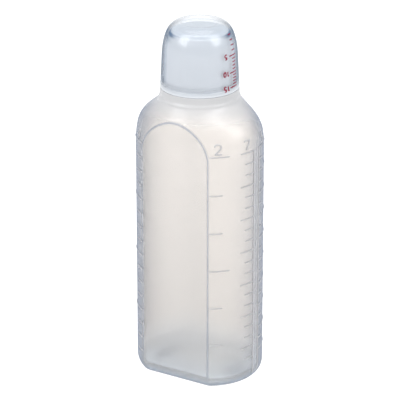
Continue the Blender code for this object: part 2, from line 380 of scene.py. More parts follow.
def lathe(name, rows, angles, body):
    """A closed skin through rings (radius, z), each radius a number or one value per angle.

    A ring whose radius is 0 is a pole. The rings run so that every face looks out of the material.
    """
    count = len(angles)
    vertices = []
    starts = []
    for radius, z in rows:
        starts.append(len(vertices))
        if np.isscalar(radius) and radius == 0.0:
            vertices.append((0.0, 0.0, z))
            continue
        ring = np.column_stack((radius * np.cos(angles), radius * np.sin(angles), np.full(count, z)))
        vertices.extend(map(tuple, ring))
    starts.append(len(vertices))
    faces = []
    for row in range(len(rows) - 1):
        low, high, end = starts[row : row + 3]
        for i in range(count):
            j = (i + 1) % count
            if high - low == 1:
                faces.append((low, high + j, high + i))
            elif end - high == 1:
                faces.append((low + i, low + j, high))
            else:
                faces.append((low + i, low + j, high + j, high + i))
    return finish_mesh(name, vertices, faces, body)


def bezier(points, steps):
    """Points along a cubic Bezier curve, both ends included."""
    (x0, z0), (x1, z1), (x2, z2), (x3, z3) = points
    curve = []
    for i in range(steps + 1):
        t = i / steps
        s = 1 - t
        x = s**3 * x0 + 3 * s * s * t * x1 + 3 * s * t * t * x2 + t**3 * x3
        z = s**3 * z0 + 3 * s * s * t * z1 + 3 * s * t * t * z2 + t**3 * z3
        curve.append((x, z))
    return curve


def set_back(profile, distance):
    """The outline moved inwards: towards the axis where it is upright, downwards where it is level."""
    moved = []
    for i, (radius, z) in enumerate(profile):
        before = profile[max(i - 1, 0)]
        after = profile[min(i + 1, len(profile) - 1)]
        run = after[0] - before[0]
        rise = after[1] - before[1]
        length = math.hypot(run, rise)
        moved.append((radius - distance * rise / length, z + distance * run / length))
    return moved


def rounded(profile, rounds):
    """The profile with chosen corners (index: radius) turned into short curves."""
    result = []
    for i, point in enumerate(profile):
        if i not in rounds:
            result.append(point)
            continue
        corner = np.array(point)
        before = np.array(profile[i - 1]) - corner
        after = np.array(profile[i + 1]) - corner
        start = corner + before / np.linalg.norm(before) * rounds[i]
        end = corner + after / np.linalg.norm(after) * rounds[i]
        for step in range(ROUND_STEPS + 1):
            t = step / ROUND_STEPS
            place = (1 - t) ** 2 * start + 2 * t * (1 - t) * corner + t * t * end
            result.append((float(place[0]), float(place[1])))
    return result


def thread_height(angles, z, first_z, turns):
    """How far the thread stands up at each angle of a ring, from 0 on the wall to 1 on the crest."""
    height = np.zeros_like(angles)
    flank = (THREAD_ROOT_HEIGHT - THREAD_CREST_HEIGHT) / 2
    for whole_turns in range(math.ceil(turns[1])):
        turn = angles / TAU + whole_turns
        away = np.abs(z - first_z - PITCH * turn)
        ridge = smooth_step((THREAD_ROOT_HEIGHT / 2 - away) / flank)
        from_end = np.minimum(turn - turns[0], turns[1] - turn)
        height = np.maximum(height, ridge * smooth_step(from_end / THREAD_FADE_TURNS))
    return height


def with_normals(place):
    """From a function of places on a surface, one that gives the places and their normals."""

    def surface(across, z):
        along = place(across + NORMAL_STEP, z) - place(across - NORMAL_STEP, z)
        up = place(across, z + NORMAL_STEP) - place(across, z - NORMAL_STEP)
        normals = np.cross(along, up)
        normals /= np.linalg.norm(normals, axis=1)[:, None]
        return place(across, z), normals

    return surface


def stored(obj, name, values):
    """Keeps one number per vertex on the mesh, for its material."""
    attribute = obj.data.attributes.new(name, "FLOAT", "POINT")
    attribute.data.foreach_set("value", values.astype(np.float32))


def vertex_places(obj):
    """The x, y and z of every vertex, as three arrays."""
    places = np.zeros(len(obj.data.vertices) * 3)
    obj.data.vertices.foreach_get("co", places)
    return places.reshape(-1, 3).T


class Ribs:
    """Collects raised strips laid along paths on a surface, then makes one mesh of them."""

    def __init__(self, surface, lift, sink):
        self.surface = surface
        raised = [(across, up * lift) for across, up in RIB_SECTION]
        self.section = [(1.0, -sink)] + raised + [(-1.0, -sink)]
        self.vertices = []
        self.faces = []

    def add(self, path, half_width, spacing=RIB_SPACING):
        """One strip along a path of surface places (across, z), with rounded ends."""
        path = np.array(path, float)
        lengths = np.concatenate(([0.0], np.cumsum(np.linalg.norm(np.diff(path, axis=0), axis=1))))
        total = lengths[-1]
        inner = np.linspace(half_width, total - half_width, max(2, round(total / spacing)))
        near_end = END_TAPER * half_width
        at = np.concatenate(([0.0, near_end], inner, [total - near_end, total]))
        scale = np.ones(len(at))
        scale[[0, -1]] = END_TAPER
        scale[[1, -2]] = NEAR_END_TAPER
        across = np.interp(at, lengths, path[:, 0])
        z = np.interp(at, lengths, path[:, 1])
        centres, normals = self.surface(across, z)
        tangents = np.gradient(centres, axis=0)
        sides = np.cross(normals, tangents)
        sides /= np.linalg.norm(sides, axis=1)[:, None]
        start = len(self.vertices)
        for centre, normal, side, size in zip(centres, normals, sides, scale):
            for out, up in self.section:
                raised = up * size if up > 0 else up
                place = centre + side * out * half_width * size + normal * raised
                self.vertices.append(tuple(place))
        corners = len(self.section)
        sections = len(at)
        for i in range(sections - 1):
            for k in range(corners):
                n = (k + 1) % corners
                low = start + i * corners
                high = low + corners
                self.faces.append((low + k, low + n, high + n, high + k))
        last = start + (sections - 1) * corners
        self.faces.append(tuple(start + k for k in reversed(range(corners))))
        self.faces.append(tuple(last + k for k in range(corners)))

    def build(self, name, body):
        """One object of all the strips."""
        return finish_mesh(name, self.vertices, self.faces, body, RIB_SHARP_ANGLE)


def smooth_path(points):
    """A Catmull-Rom curve through the points."""
    points = np.array(points, float)
    padded = np.vstack((2 * points[0] - points[1], points, 2 * points[-1] - points[-2]))
    curve = []
    for p0, p1, p2, p3 in zip(padded, padded[1:], padded[2:], padded[3:]):
        for step in range(STROKE_STEPS):
            t = step / STROKE_STEPS
            curve.append(
                0.5 * (2 * p1 + (p2 - p0) * t + (2 * p0 - 5 * p1 + 4 * p2 - p3) * t * t
                       + (3 * p1 - p0 - 3 * p2 + p3) * t**3)
            )
    curve.append(points[-1])
    return np.array(curve)


def numeral_paths(text, height, width):
    """The strokes of a number, centred on 0 across and standing on 0."""
    advance = width * GLYPH_ADVANCE / GLYPH_WIDTH
    paths = []
    for place, digit in enumerate(text):
        middle = (place - (len(text) - 1) / 2) * advance
        for kind, points in NUMERALS[digit]:
            stroke = smooth_path(points) if kind == "curve" else np.array(points, float)
            across = middle + (stroke[:, 0] / GLYPH_WIDTH - 0.5) * width
            paths.append(np.column_stack((across, stroke[:, 1] * height)))
    return paths


# ---------------------------------------------------------------- bottle body


def taper(base, top, height, shape):
    """A size that falls from base to top as the height goes from 0 to 1."""
    power, roundness = shape
    return top + (base - top) * (1 - height**power) ** roundness


def oval_sizes(z):
    """Half width, half depth and panel distance of the outside at a height, up to the collar."""
    rise = np.clip(BASE_FILLET - z, 0.0, BASE_FILLET)
    shrink = BASE_FILLET - np.sqrt(BASE_FILLET**2 - rise**2)
    height = np.clip((z - SHOULDER_Z) / (COLLAR_BOTTOM_Z - SHOULDER_Z), 0.0, 1.0)
    half_width = taper(HALF_WIDTH, COLLAR_RADIUS, height, SHOULDER_SIDE) - shrink
    half_depth = taper(OVAL_HALF_DEPTH, COLLAR_RADIUS, height, SHOULDER_FRONT) - shrink
    return half_width, half_depth, PANEL_HALF_DEPTH - shrink


def section(angles, half_width, half_depth, panel):
    """The oval's radius at each angle, and the distance out to the flat panels."""
    oval = 1 / np.sqrt((np.cos(angles) / half_width) ** 2 + (np.sin(angles) / half_depth) ** 2)
    flat = panel / np.maximum(np.abs(np.sin(angles)), SMALLEST_SINE)
    return oval, flat


def body_radius(angles, z):
    """The bottle's outside radius at each angle and height, below the collar."""
    half_width, half_depth, panel = oval_sizes(z)
    oval, flat = section(angles, half_width, half_depth, panel)
    radius = smooth_min(oval, flat, PANEL_EDGE_ROUND)
    from_seam = radius * np.abs(np.sin(angles))
    on_wall = smooth_step((SHOULDER_Z + SEAM_FADE - z) / SEAM_FADE)
    radius += SEAM_HEIGHT * on_wall * np.exp(-((from_seam / SEAM_HALF_WIDTH) ** 2))
    radius += BEAD_HEIGHT * np.exp(-(((z - BEAD_Z) / BEAD_HALF_WIDTH) ** 2))
    return radius


def inset_ring(angles, inset):
    """A ring parallel to the body's section, set in from the straight wall."""
    oval, flat = section(
        angles, HALF_WIDTH - inset, OVAL_HALF_DEPTH - inset, PANEL_HALF_DEPTH - inset
    )
    return smooth_min(oval, flat, PANEL_EDGE_ROUND)


def inner_ring(angles, z):
    """The inside of the wall above the inner fillet."""
    half_width, half_depth, panel = oval_sizes(z)
    oval, flat = section(angles, half_width - WALL, half_depth - WALL, panel - WALL)
    return smooth_min(oval, flat, PANEL_EDGE_ROUND)


def body_angles():
    """Angles round the bottle, closer together at the rounded ends, where the seams stand."""
    even = np.arange(BODY_COLUMNS) * TAU / BODY_COLUMNS
    return even - END_CROWDING * np.sin(2 * even)


def base_rows(angles):
    """Rings from the middle of the recess under the base to the top of the rounded foot."""
    rows = [(0.0, RECESS_HEIGHT)]
    recess_edge = inset_ring(angles, RECESS_INSET + RECESS_HEIGHT)
    rows += [(recess_edge * share, RECESS_HEIGHT) for share in BASE_RINGS]
    for step in range(ROUND_STEPS + 1):
        share = step / ROUND_STEPS
        inset = RECESS_INSET + RECESS_HEIGHT * (1 - share)
        rows.append((inset_ring(angles, inset), RECESS_HEIGHT * float(1 - smooth_step(share))))
    rows.append((inset_ring(angles, (RECESS_INSET + BASE_FILLET) / 2), 0.0))
    for step in range(FILLET_STEPS):
        turn = math.pi / 2 * step / FILLET_STEPS
        inset = BASE_FILLET * (1 - math.sin(turn))
        rows.append((inset_ring(angles, inset), BASE_FILLET * (1 - math.cos(turn))))
    return rows


def wall_rows(angles):
    """Rings up the outside of the wall and the shoulder, to the foot of the collar."""
    wall = np.linspace(BASE_FILLET, SHOULDER_Z, WALL_STEPS + 1)
    shoulder = np.linspace(SHOULDER_Z, COLLAR_BOTTOM_Z, SHOULDER_STEPS + 1)[1:]
    return [(body_radius(angles, z), float(z)) for z in np.concatenate((wall, shoulder))]


def neck_rows(angles):
    """Rings round the collar, up the threaded neck, over its lip and down its bore."""
    collar = rounded(
        [
            (COLLAR_RADIUS, COLLAR_BOTTOM_Z),
            (COLLAR_RADIUS, COLLAR_TOP_Z),
            (NECK_RADIUS, COLLAR_TOP_Z),
            (NECK_RADIUS, COLLAR_TOP_Z + NECK_ROOT),
        ],
        {1: EDGE_ROUND, 2: EDGE_ROUND},
    )
    rows = collar[1:]
    thread_top = THREAD_START_Z + PITCH * NECK_THREAD_TURNS[1] + THREAD_ROOT_HEIGHT
    for z in np.arange(THREAD_START_Z - THREAD_ROOT_HEIGHT, thread_top, THREAD_ROW):
        ridge = thread_height(angles, z, THREAD_START_Z, NECK_THREAD_TURNS)
        rows.append((NECK_RADIUS + (THREAD_CREST - NECK_RADIUS) * ridge, float(z)))
    rows += rounded(
        [
            (NECK_RADIUS, LIP_START_Z),
            (LIP_RADIUS, LIP_START_Z + NECK_RADIUS - LIP_RADIUS),
            (LIP_RADIUS, LIP_TOP_Z),
            (NECK_BORE, LIP_TOP_Z),
            (NECK_BORE, COLLAR_TOP_Z),
        ],
        {2: EDGE_ROUND, 3: EDGE_ROUND},
    )
    return rows


def inside_rows(angles):
    """Rings down the inside of the shoulder and the wall, to the middle of the floor."""
    rows = []
    for z in np.linspace(COLLAR_BOTTOM_Z, SHOULDER_Z, INNER_SHOULDER_STEPS + 1):
        rows.append((inner_ring(angles, z), float(z)))
    inner_fillet = BASE_FILLET - WALL
    inner_floor_z = FLOOR + RECESS_HEIGHT
    for z in np.linspace(SHOULDER_Z, inner_floor_z + inner_fillet, WALL_STEPS + 1)[1:]:
        rows.append((inset_ring(angles, WALL), float(z)))
    for step in range(1, FILLET_STEPS + 1):
        turn = math.pi / 2 * step / FILLET_STEPS
        inset = WALL + inner_fillet * (1 - math.cos(turn))
        rows.append((inset_ring(angles, inset), inner_floor_z + inner_fillet * (1 - math.sin(turn))))
    floor_edge = inset_ring(angles, BASE_FILLET)
    rows += [(floor_edge * share, inner_floor_z) for share in FLOOR_RINGS]
    rows.append((0.0, inner_floor_z))
    return rows


def build_bottle():
    """The body as one closed skin: up its outside, over the lip, and down its inside."""
    angles = body_angles()
    rows = base_rows(angles) + wall_rows(angles) + neck_rows(angles) + inside_rows(angles)
    bottle = lathe("bottle", rows, angles, "bottle")
    mark_bottle(bottle)
    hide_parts("bottle_body")
    return bottle


def mark_bottle(bottle):
    """Stores where the foot, floor, collar, pinch, seam strips and panel edges are, from 0 to 1."""
    x, y, z = vertex_places(bottle)
    angles = np.arctan2(y, x)
    oval, flat = section(angles, *oval_sizes(z))
    outside = np.hypot(x, y) > np.minimum(oval, flat) - OUTER_SKIN * WALL
    above_ground = fade(z, (0.0, FOOT_FADE[0]))
    above_foot = fade(z, FOOT_FADE)
    # Painted shade: a dark line along each panel edge.
    near_panel_edge = np.clip(1 - np.abs(oval - flat) / PANEL_EDGE_FADE, 0, 1)
    stored(bottle, "panel_edge", near_panel_edge * outside * above_foot)
    # The foot is thick plastic, and its darker tint is partly painted shade.
    stored(bottle, "foot", outside * above_ground * (1 - above_foot))
    stored(bottle, "collar", fade(z, COLLAR_FADE))
    in_base = 1 - fade(z, FLOOR_FADE)
    stored(bottle, "floor", in_base * (1 - outside * above_ground))
    # The soft tube is squeezed shut along the seam under the base, and is thickest at its ends.
    from_end = np.hypot((np.abs(x) - PINCH_X) / PINCH_LENGTH, y / PINCH_WIDTH)
    stored(bottle, "pinch", in_base * np.exp(-(from_end**2)))
    between_scales = 1 - fade(np.abs(y), (SEAM_SIDE * MM - SEAM_EDGE_FADE, SEAM_SIDE * MM))
    on_wall = above_foot * (1 - fade(z, SEAM_STRIP_FADE)) * (np.abs(x) > RECESS_INSET)
    stored(bottle, "seam", between_scales * on_wall * outside)


def end_surface(end):
    """Places and normals on one rounded end, from the arc length past its seam and the height."""
    turned = 0.0 if end == "right" else math.pi

    def place(across, z):
        arc = across / END_RADIUS
        angles = turned + np.arctan2(
            END_RADIUS * np.sin(arc), END_CENTRE + END_RADIUS * np.cos(arc)
        )
        radius = body_radius(angles, z)
        return np.column_stack((radius * np.cos(angles), radius * np.sin(angles), z))

    return with_normals(place)


def build_dose_scales():
    """One mesh of ticks, dividers and numerals for each rounded end."""
    for end in ("right", "left"):
        ribs = Ribs(end_surface(end), RIB_LIFT, RIB_SINK)
        for scale_end, number, start, long, short, pitch, per_long, middle in DOSE_SCALES:
            if scale_end != end:
                continue
            count = int((SCALE_TOP_Z - SCALE_LOWEST_Z) / (pitch * MM)) + 1
            for tick in range(count):
                z = SCALE_TOP_Z - tick * pitch * MM
                length = short if tick % per_long else long
                ribs.add([(start * MM, z), ((start + length) * MM, z)], RIB_HALF_WIDTH)
            if abs(start) == SEAM_SIDE:
                divider = [(start * MM, SCALE_TOP_Z), (start * MM, DIVIDER_BOTTOM_Z)]
                ribs.add(divider, RIB_HALF_WIDTH, LONG_RIB_SPACING)
            for path in numeral_paths(number, NUMERAL_HEIGHT, NUMERAL_WIDTH):
                path = path + np.array((middle * MM, SCALE_TOP_Z + NUMERAL_GAP))
                ribs.add(path, NUMERAL_HALF_WIDTH)
        scales = ribs.build("dose_scales_" + end, "bottle")
        yield scales


# ---------------------------------------------------------------- cup, cap and liner


def cup_outline():
    """The cup's outside from the top of its rim band up to the edge of its flat base."""
    band_top = (CUP_RIM_RADIUS - CUP_RIM_ROUND / 2, CUP_RIM_Z + CUP_RIM_BAND)
    shoulder = bezier(
        [
            (CUP_SHOULDER_RADIUS, CUP_SHOULDER_Z),
            (CUP_SHOULDER_RADIUS - CUP_WALL_LEAN, CUP_SHOULDER_Z + CUP_WALL_RUN),
            (CUP_BASE_RADIUS + CUP_BASE_RUN, CUP_TOP_Z - CUP_BASE_DROP),
            (CUP_BASE_RADIUS, CUP_TOP_Z),
        ],
        CURVE_STEPS,
    )
    wall = []
    for step in range(LOWER_WALL_STEPS):
        share = step / LOWER_WALL_STEPS
        wall.append(
            (
                band_top[0] + (CUP_SHOULDER_RADIUS - band_top[0]) * share,
                band_top[1] + (CUP_SHOULDER_Z - band_top[1]) * share,
            )
        )
    return wall + shoulder


def cup_rim_side():
    """The outside of the thicker band round the cup's rim, which starts below the outline."""
    step_z = CUP_RIM_Z + CUP_RIM_BAND - CUP_RIM_STEP
    return [(CUP_RIM_RADIUS, CUP_RIM_Z), (CUP_RIM_RADIUS, step_z)]


def crowned(side, top_z, chamfer):
    """A side wall closed by a flat top, with a rounded corner between them."""
    side = [point for point in side if point[1] < top_z - GAP]
    radius, z = side[-1]
    corner = [
        (radius, z),
        (radius - CROWN_LEAN * chamfer, top_z),
        (radius - CROWN_REACH * chamfer, top_z),
    ]
    return side + rounded(corner, {1: CROWN_ROUND * chamfer})[1:]


def build_cup(angles):
    """The cup, upside down: up its inside from the middle of its floor, round the rim and back up."""
    outside = cup_outline()
    # The rim comes closer to the collar than its working gap, so that a fine line shows between them.
    rim_z = COLLAR_TOP_Z + CUP_RIM_GAP
    rim = rounded(
        [
            (CUP_RIM_RADIUS - CUP_WALL, CUP_RIM_Z + CUP_RIM_BAND),
            (CUP_RIM_INSIDE, rim_z),
            (CUP_RIM_RADIUS, rim_z),
            cup_rim_side()[1],
            outside[0],
        ],
        {1: CUP_RIM_ROUND, 2: CUP_RIM_ROUND, 3: CUP_RIM_STEP_ROUND},
    )
    inner_floor_z = CUP_TOP_Z - CUP_RECESS - CUP_BASE
    inside = crowned(set_back(outside, CUP_WALL), inner_floor_z, CROWN_CHAMFER)
    recess = rounded(
        [
            outside[-1],
            (CUP_RECESS_RADIUS, CUP_TOP_Z),
            (CUP_RECESS_RADIUS - CUP_RECESS, CUP_TOP_Z - CUP_RECESS),
            (CUP_RECESS_RING * CUP_RECESS_RADIUS, CUP_TOP_Z - CUP_RECESS),
        ],
        {1: CUP_RECESS_ROUND, 2: CUP_RECESS_ROUND},
    )
    profile = [(0.0, inner_floor_z), (CUP_FLOOR_RING * CUP_BASE_RADIUS, inner_floor_z)]
    profile += list(reversed(inside)) + rim[1:-1] + outside + recess[1:]
    profile.append((0.0, CUP_TOP_Z - CUP_RECESS))
    cup = lathe("clear_cup", profile, angles, "cup")
    mark_cup(cup)
    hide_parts("measuring_cup")
    return cup


def mark_cup(cup):
    """Stores where the cup's wall, shoulder, crown, rim and lip are, from 0 to 1."""
    x, y, z = vertex_places(cup)
    outline = np.array(cup_outline())
    outer = np.interp(z, outline[:, 1], outline[:, 0])
    outside = np.hypot(x, y) > outer - OUTER_SKIN * CUP_WALL
    rim = 1 - fade(z, CUP_RIM_FADE)
    shoulder = fade(z, CUP_SHOULDER_FADE)
    crown = fade(z, CUP_CROWN_FADE)
    # The wall, shoulder and crown take painted shade, the rim painted light and the lip a painted
    # highlight.
    stored(cup, "wall", outside * (1 - shoulder) * (1 - rim))
    stored(cup, "shoulder", outside * shoulder * (1 - crown))
    stored(cup, "crown", crown)
    stored(cup, "rim", rim)
    # Painted highlight: a pale band along the lip.
    stored(cup, "lip", outside * (1 - fade(z, CUP_LIP_FADE)))


def cup_surface():
    """Places and normals on the cup's outside, from the arc length about +X and the height."""
    outline = np.array(cup_rim_side() + cup_outline())

    def place(across, z):
        radius = np.interp(z, outline[:, 1], outline[:, 0])
        angles = across / CUP_SHOULDER_RADIUS
        return np.column_stack((radius * np.cos(angles), radius * np.sin(angles), z))

    return with_normals(place)


def build_cup_scale():
    """The printed ticks and numbers, as thin ribs of ink on the cup."""
    ribs = Ribs(cup_surface(), INK_LIFT, INK_SINK)
    arc = math.radians(1) * CUP_SHOULDER_RADIUS
    known = sorted(CUP_MARK_Z)
    for volume in range(1, known[-1] + 1):
        z = float(np.interp(volume, known, [CUP_MARK_Z[v] for v in known])) * MM
        marked = volume % CUP_MARK_EVERY == 0
        start, end = CUP_LONG_TICK if marked else CUP_SHORT_TICK
        ribs.add([(start * arc, z), (end * arc, z)], INK_HALF_WIDTH)
        if not marked:
            continue
        for path in numeral_paths(str(volume), CUP_NUMERAL_HEIGHT, CUP_NUMERAL_WIDTH):
            # The numbers are read with the cup turned over, so they stand on their heads here.
            path = np.array((CUP_NUMERAL_ANGLE * arc, z + CUP_NUMERAL_HEIGHT / 2)) - path
            ribs.add(path, INK_NUMERAL_HALF_WIDTH, INK_SPACING)
    scale = ribs.build("cup_scale", "cup")
    return scale


def build_cap(angles):
    """The cap: down its inside from the middle of its ceiling, round the skirt and up its outside."""
    outside = crowned(set_back(cup_outline(), CUP_WALL + GAP), CAP_TOP_Z, CROWN_CHAMFER)
    skirt = rounded(
        [
            (CAP_BORE, CUP_RIM_Z + CAP_SKIRT_START),
            (CAP_BORE, CUP_RIM_Z),
            (outside[0][0], CUP_RIM_Z),
            outside[0],
        ],
        {1: EDGE_ROUND, 2: EDGE_ROUND},
    )
    ceiling_z = LINER_Z + LINER_THICKNESS + GAP
    rows = [(0.0, ceiling_z), (CAP_RING * CAP_POCKET, ceiling_z), (CAP_POCKET, ceiling_z)]
    rows.append((CAP_POCKET, CAP_POCKET_Z))
    rows.append((CAP_BORE, LIP_START_Z))
    first_z = THREAD_START_Z - CAP_THREAD_DROP
    low = first_z + PITCH * CAP_THREAD_TURNS[0] - THREAD_ROOT_HEIGHT
    high = first_z + PITCH * CAP_THREAD_TURNS[1] + THREAD_ROOT_HEIGHT
    for z in reversed(np.arange(low, high, THREAD_ROW)):
        ridge = thread_height(angles, z, first_z, CAP_THREAD_TURNS)
        rows.append((CAP_BORE - (CAP_BORE - CAP_THREAD_CREST) * ridge, float(z)))
    rows += skirt + outside[1:]
    rows.append((CAP_RING * CAP_POCKET, CAP_TOP_Z))
    rows.append((0.0, CAP_TOP_Z))
    cap = lathe("cap", rows, angles, "cap")
    mark_cap(cap)
    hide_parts("screw_cap")
    return cap


def mark_cap(cap):
    """Stores where the rounded corner between the cap's side and its flat top is, from 0 to 1."""
    x, y, z = vertex_places(cap)
    outside = np.hypot(x, y) > CAP_CORNER_RADIUS
    # The corner takes a painted shade in the cap's material.
    stored(cap, "corner", fade(z, CAP_CORNER_FADE) * (1 - fade(z, CAP_TOP_FADE)) * outside)


def build_liner(angles):
    """The liner, a disc with rounded edges."""
    top_z = LINER_Z + LINER_THICKNESS
    side = rounded(
        [
            (LINER_RING * LINER_RADIUS, LINER_Z),
            (LINER_RADIUS, LINER_Z),
            (LINER_RADIUS, top_z),
            (LINER_RING * LINER_RADIUS, top_z),
        ],
        {1: LINER_EDGE_ROUND, 2: LINER_EDGE_ROUND},
    )
    liner = lathe("liner", [(0.0, LINER_Z)] + side + [(0.0, top_z)], angles, "liner")
    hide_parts("cap_liner")
    return liner


# ---------------------------------------------------------------- materials


class Nodes:
    """A material's node tree, with short ways to add nodes and links."""

    def __init__(self, name):
        self.material = bpy.data.materials.new(name)
        self.material.use_nodes = True
        self.tree = self.material.node_tree
        self.tree.nodes.clear()
        self.output = self.add("ShaderNodeOutputMaterial")

    def add(self, kind, inputs=None, **settings):
        """A node with its settings made and each input set to a value or linked to a socket."""
        node = self.tree.nodes.new(kind)
        for key, value in settings.items():
            setattr(node, key, value)
        for key, value in (inputs or {}).items():
            if isinstance(value, bpy.types.NodeSocket):
                self.tree.links.new(value, node.inputs[key])
            else:
                node.inputs[key].default_value = value
        return node

    def ramp(self, value, first, second):
        """A colour that turns from the first to the second as the value rises past its middle."""
        node = self.add("ShaderNodeValToRGB", {"Fac": value})
        elements = node.color_ramp.elements
        for element, position, colour in zip(elements, RAMP_STOPS, (first, second)):
            element.position = position
            element.color = (*colour, 1.0)
        return node.outputs["Color"]

    def noise(self, scale, detail=2.0):
        """Soft noise that stays with the object."""
        place = self.add("ShaderNodeTexCoord").outputs["Object"]
        node = self.add("ShaderNodeTexNoise", {"Vector": place, "Scale": scale, "Detail": detail})
        return node.outputs["Fac"]

    def attribute(self, name):
        """A number kept on the vertices by stored()."""
        return self.add("ShaderNodeAttribute", attribute_name=name).outputs["Fac"]

    def maths(self, operation, first, second):
        """The result of one sum on two numbers or sockets."""
        return self.add("ShaderNodeMath", {0: first, 1: second}, operation=operation).outputs[0]

    def map_range(self, value, source, target, smooth=False):
        """A value moved from one range to another, and held inside it."""
        inputs = {"Value": value, "From Min": source[0], "From Max": source[1]}
        inputs.update({"To Min": target[0], "To Max": target[1]})
        kind = "SMOOTHSTEP" if smooth else "LINEAR"
        return self.add("ShaderNodeMapRange", inputs, interpolation_type=kind).outputs["Result"]

    def bump(self, height, strength, distance):
        """Normals of a surface with a fine relief."""
        node = self.add(
            "ShaderNodeBump", {"Height": height, "Strength": strength, "Distance": distance}
        )
        return node.outputs["Normal"]

    def close(self, shader):
        """The finished material, with the shader as its surface."""
        self.tree.links.new(shader, self.output.inputs["Surface"])
        return self.material


def mix_colour(nodes, factor, first, second):
    """Two colours or colour sockets mixed by a factor."""
    node = nodes.add("ShaderNodeMix", {"Factor": factor}, data_type="RGBA")
    for socket, value in ((node.inputs[6], first), (node.inputs[7], second)):
        if isinstance(value, bpy.types.NodeSocket):
            nodes.tree.links.new(value, socket)
        else:
            socket.default_value = (*value, 1.0)
    return node.outputs[2]


def edge_on(nodes):
    """How far the surface is turned edge on, from 0 to 1."""
    return nodes.add("ShaderNodeLayerWeight", {"Blend": 0.5}).outputs["Facing"]


def mix_shaders(nodes, factor, first, second):
    """Two shaders mixed by a factor."""
    return nodes.add("ShaderNodeMixShader", {0: factor, 1: first, 2: second}).outputs["Shader"]


def principled(nodes, inputs):
    """Blender's general surface shader."""
    return nodes.add("ShaderNodeBsdfPrincipled", inputs).outputs["BSDF"]


def solid_shader(nodes, colour, roughness, specular):
    """An opaque shader of one colour."""
    inputs = {"Base Color": (*colour, 1.0), "Roughness": roughness, "Specular IOR Level": specular}
    return principled(nodes, inputs)


def dimmed(colour, share):
    """A share of a colour's light."""
    return tuple(share * channel for channel in colour)


def moulded_wall(nodes, colour, passed, transmission, weight):
    """What a blown body passes, how much of it, and its scattering, with painted shade.

    Its tint darkens towards the base as painted shade. It is thicker at the collar, the floor and the
    pinch; the foot's darker tint is partly its thick plastic and partly painted shade, and a panel's edge
    takes a painted dark line.
    """
    place = nodes.add("ShaderNodeTexCoord").outputs["Object"]
    height = nodes.add("ShaderNodeSeparateXYZ", {0: place}).outputs["Z"]
    # Painted shade: the tint is darkened towards the base.
    out_of_base_shade = nodes.map_range(height, (0.0, SHOULDER_Z), (0.0, 1.0))
    passed = mix_colour(nodes, out_of_base_shade, dimmed(colour, BASE_SHADE_SHARE), passed)
    for where, tint, clarity in THICK_AND_SHADED_PLACES:
        share = nodes.attribute(where)
        passed = mix_colour(nodes, share, passed, tint)
        cleared = nodes.map_range(share, (0.0, 1.0), (1.0, clarity))
        transmission = nodes.maths("MULTIPLY", transmission, cleared)
    # Painted shade: each panel's edge takes a dark line of the edge-on colour.
    panel_edge = nodes.maths("MULTIPLY", nodes.attribute("panel_edge"), PANEL_EDGE_SHARE)
    weight = nodes.maths("MAXIMUM", weight, panel_edge)
    for where, kept in CALM_PLACES:
        share = nodes.map_range(nodes.attribute(where), (0.0, 1.0), (1.0, kept))
        weight = nodes.maths("MULTIPLY", weight, share)
    return passed, transmission, weight


def cap_corner(nodes, shader, colour, roughness):
    """The cap's shader with the solid corner under its flat top, dark where it is seen edge on: a painted
    shade.
    """
    dark = solid_shader(nodes, colour, roughness, specular=0.0)
    share = nodes.map_range(edge_on(nodes), (0.25, 0.6), (0.0, 1.0), smooth=True)
    share = nodes.maths("MULTIPLY", share, nodes.attribute("corner"))
    return mix_shaders(nodes, share, shader, dark)


def milky_material(
    name, colour, scatter_and_shade, power, transmission, roughness, moulded_body=False, corner=None
):
    """Milky moulded plastic: it passes light where it is seen square on and scatters it edge on.

    Edge on, its dark blue-grey is also painted shade for its darker edges. A higher power keeps the
    scattering and that painted shade nearer to edge on. The cap gives the colour of its corner, a painted
    shade.
    """
    nodes = Nodes(name)
    cloud = nodes.noise(scale=60.0, detail=3.0)
    grain = nodes.bump(nodes.noise(scale=1800.0), strength=0.04, distance=0.05 * MM)
    passed = nodes.ramp(cloud, colour, dimmed(colour, share=0.985))
    # Edge on it scatters more, and the dark blue-grey there is painted shade.
    scattered_and_shaded = nodes.ramp(cloud, scatter_and_shade, dimmed(scatter_and_shade, share=0.95))
    weight = nodes.maths("POWER", edge_on(nodes), power)
    if moulded_body:
        passed, transmission, weight = moulded_wall(nodes, colour, passed, transmission, weight)
    surface = {"Roughness": roughness, "IOR": PLASTIC_IOR, "Normal": grain}
    square = principled(
        nodes, {**surface, "Base Color": passed, "Transmission Weight": transmission}
    )
    steep = principled(nodes, {**surface, "Base Color": scattered_and_shaded, "Specular IOR Level": 0.0})
    shader = mix_shaders(nodes, weight, square, steep)
    if corner:
        shader = cap_corner(nodes, shader, corner, roughness)
    return nodes.close(shader)


